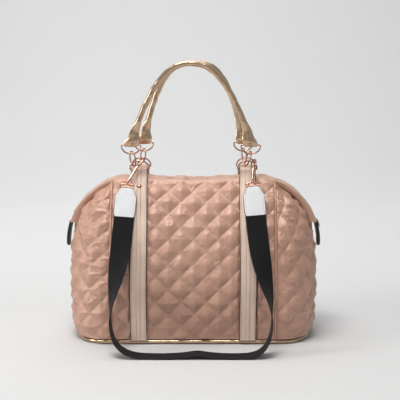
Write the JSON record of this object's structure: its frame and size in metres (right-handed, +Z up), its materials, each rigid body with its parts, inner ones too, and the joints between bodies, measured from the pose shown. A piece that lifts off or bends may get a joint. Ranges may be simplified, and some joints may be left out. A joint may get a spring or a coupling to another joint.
{
  "type": "diaper bag",
  "caption": "Quilted weekender changing bag with rolled handles hung on chain links, a zip top and a clip-on webbing shoulder strap.",
  "frame": {"origin": "on the floor under the middle of the base", "axes": "+Z up, the bag's front faces -Y, +X to the right of someone looking at the front"},
  "size_m": [0.4684, 0.2931, 0.5071],
  "materials": {
    "rose_satin": "quilted satin with a soft sheen",
    "gold_leather": "metallic coated leather, soft gloss",
    "beige_leather": "smooth matt leather with dark painted edges",
    "rose_gold_metal": "polished rose gold plating",
    "black_webbing": "close woven herringbone webbing, matt",
    "white_leather": "smooth coated leather",
    "black_leather": "smooth black leather, low gloss",
    "lining_cloth": "plain woven polyester",
    "zip_tape": "woven zip tape",
    "stiffener": "rough fibre board"
  },
  "bodies": {
    "bag": {"front_panel": "rose_satin", "back_panel": "rose_satin", "left_side_panel": "rose_satin", "right_side_panel": "rose_satin", "base_panel": "rose_satin", "base_piping": "gold_leather", "base_board": "stiffener", "lining": "lining_cloth", "front_zip_gusset": "rose_satin", "back_zip_gusset": "rose_satin", "front_zip_tape": "zip_tape", "back_zip_tape": "zip_tape", "zip_chain": "zip_tape", "left_zip_end_tab": "black_leather", "right_zip_end_tab": "black_leather", "front_left_strap": "beige_leather", "front_left_rivet": "rose_gold_metal", "front_right_strap": "beige_leather", "front_right_rivet": "rose_gold_metal", "back_left_strap": "beige_leather", "back_left_rivet": "rose_gold_metal", "back_right_strap": "beige_leather", "back_right_rivet": "rose_gold_metal"},
    "front_left_strap_ring": {"front_left_strap_ring": "rose_gold_metal"},
    "front_left_link": {"front_left_link": "rose_gold_metal"},
    "front_left_handle_ring": {"front_left_handle_ring": "rose_gold_metal"},
    "front_right_strap_ring": {"front_right_strap_ring": "rose_gold_metal"},
    "front_right_link": {"front_right_link": "rose_gold_metal"},
    "front_right_handle_ring": {"front_right_handle_ring": "rose_gold_metal"},
    "front_handle": {"front_handle": "gold_leather", "front_handle_left_tab": "gold_leather", "front_handle_right_tab": "gold_leather"},
    "back_left_strap_ring": {"back_left_strap_ring": "rose_gold_metal"},
    "back_left_link": {"back_left_link": "rose_gold_metal"},
    "back_left_handle_ring": {"back_left_handle_ring": "rose_gold_metal"},
    "back_right_strap_ring": {"back_right_strap_ring": "rose_gold_metal"},
    "back_right_link": {"back_right_link": "rose_gold_metal"},
    "back_right_handle_ring": {"back_right_handle_ring": "rose_gold_metal"},
    "back_handle": {"back_handle": "gold_leather", "back_handle_left_tab": "gold_leather", "back_handle_right_tab": "gold_leather"},
    "zip_slider": {"zip_slider": "rose_gold_metal"},
    "zip_puller": {"zip_puller": "rose_gold_metal"},
    "shoulder_strap": {"shoulder_webbing": "black_webbing", "left_strap_tab": "white_leather", "right_strap_tab": "white_leather", "left_swivel_base": "rose_gold_metal", "right_swivel_base": "rose_gold_metal"},
    "left_hook": {"left_hook": "rose_gold_metal"},
    "left_gate": {"left_gate": "rose_gold_metal"},
    "right_hook": {"right_hook": "rose_gold_metal"},
    "right_gate": {"right_gate": "rose_gold_metal"}
  },
  "joints": [
    {"name": "front_left_strap_ring_swing", "type": "hinge", "parent": "bag", "child": "front_left_strap_ring", "pos_m": [-0.098, -0.03, 0.3097], "axis": [1, 0, 0], "range_deg": [0, 4]},
    {"name": "front_left_link_swing", "type": "hinge", "parent": "front_left_strap_ring", "child": "front_left_link", "pos_m": [-0.1075, -0.03, 0.32457], "axis": [1, 0, 0], "range_deg": [-3, 24]},
    {"name": "front_left_handle_ring_swing", "type": "hinge", "parent": "front_left_link", "child": "front_left_handle_ring", "pos_m": [-0.113, -0.03, 0.3385], "axis": [1, 0, 0], "range_deg": [-1, 42]},
    {"name": "front_right_strap_ring_swing", "type": "hinge", "parent": "bag", "child": "front_right_strap_ring", "pos_m": [0.098, -0.03, 0.3097], "axis": [1, 0, 0], "range_deg": [0, 4]},
    {"name": "front_right_link_swing", "type": "hinge", "parent": "front_right_strap_ring", "child": "front_right_link", "pos_m": [0.0945, -0.03, 0.32457], "axis": [1, 0, 0], "range_deg": [-3, 24]},
    {"name": "front_right_handle_ring_swing", "type": "hinge", "parent": "front_right_link", "child": "front_right_handle_ring", "pos_m": [0.104, -0.03, 0.3385], "axis": [1, 0, 0], "range_deg": [-1, 42]},
    {"name": "front_handle_swing", "type": "hinge", "parent": "front_left_handle_ring", "child": "front_handle", "pos_m": [-0.113, -0.03, 0.3545], "axis": [1, 0, 0], "range_deg": [-1, 20]},
    {"name": "back_left_strap_ring_swing", "type": "hinge", "parent": "bag", "child": "back_left_strap_ring", "pos_m": [-0.098, 0.03, 0.3097], "axis": [-1, 0, 0], "range_deg": [-1, 20]},
    {"name": "back_left_link_swing", "type": "hinge", "parent": "back_left_strap_ring", "child": "back_left_link", "pos_m": [-0.0965, 0.03, 0.32565], "axis": [-1, 0, 0], "range_deg": [-3, 32]},
    {"name": "back_left_handle_ring_swing", "type": "hinge", "parent": "back_left_link", "child": "back_left_handle_ring", "pos_m": [-0.093, 0.03, 0.3385], "axis": [-1, 0, 0], "range_deg": [-1, 30]},
    {"name": "back_right_strap_ring_swing", "type": "hinge", "parent": "bag", "child": "back_right_strap_ring", "pos_m": [0.098, 0.03, 0.3097], "axis": [-1, 0, 0], "range_deg": [-1, 20]},
    {"name": "back_right_link_swing", "type": "hinge", "parent": "back_right_strap_ring", "child": "back_right_link", "pos_m": [0.0965, 0.03, 0.32565], "axis": [-1, 0, 0], "range_deg": [-3, 32]},
    {"name": "back_right_handle_ring_swing", "type": "hinge", "parent": "back_right_link", "child": "back_right_handle_ring", "pos_m": [0.093, 0.03, 0.3385], "axis": [-1, 0, 0], "range_deg": [-1, 30]},
    {"name": "back_handle_swing", "type": "hinge", "parent": "back_left_handle_ring", "child": "back_handle", "pos_m": [-0.093, 0.03, 0.3545], "axis": [-1, 0, 0], "range_deg": [-1, 12]},
    {"name": "zip_slide", "type": "slide", "parent": "bag", "child": "zip_slider", "axis": [-1, 0, 0], "range_m": [0, 0.225]},
    {"name": "zip_puller_lift", "type": "hinge", "parent": "zip_slider", "child": "zip_puller", "pos_m": [0.115, 0, 0.2976], "axis": [0, 1, 0], "range_deg": [0, 170]},
    {"name": "shoulder_strap_swing", "type": "hinge", "parent": "bag", "child": "shoulder_strap", "pos_m": [0, -0.03, 0.3255], "axis": [-1, 0, 0], "range_deg": [0, 22]},
    {"name": "left_hook_swivel", "type": "hinge", "parent": "shoulder_strap", "child": "left_hook", "pos_m": [-0.1186, -0.05875, 0.2896], "axis": [0.4403, 0.5602, 0.7017], "range_deg": [-6, 6]},
    {"name": "left_gate_press", "type": "hinge", "parent": "left_hook", "child": "left_gate", "pos_m": [-0.10416, -0.03515, 0.31518], "axis": [0.6554, 0.3336, -0.6776], "range_deg": [0, 8], "stiffness_Nm_per_rad": 0.02},
    {"name": "right_hook_swivel", "type": "hinge", "parent": "shoulder_strap", "child": "right_hook", "pos_m": [0.10589, -0.0594, 0.29245], "axis": [0.0614, 0.6921, 0.7192], "range_deg": [-6, 6]},
    {"name": "right_gate_press", "type": "hinge", "parent": "right_hook", "child": "right_gate", "pos_m": [0.10559, -0.03752, 0.31129], "axis": [0.7931, 0.4037, -0.4561], "range_deg": [0, 8], "stiffness_Nm_per_rad": 0.02}
  ],
  "couplings": [
    {"joint": "front_right_strap_ring_swing", "follows": "front_left_strap_ring_swing", "ratio": 1},
    {"joint": "front_right_link_swing", "follows": "front_left_link_swing", "ratio": 1},
    {"joint": "front_right_handle_ring_swing", "follows": "front_left_handle_ring_swing", "ratio": 1},
    {"joint": "back_right_strap_ring_swing", "follows": "back_left_strap_ring_swing", "ratio": 1},
    {"joint": "back_right_link_swing", "follows": "back_left_link_swing", "ratio": 1},
    {"joint": "back_right_handle_ring_swing", "follows": "back_left_handle_ring_swing", "ratio": 1}
  ]
}
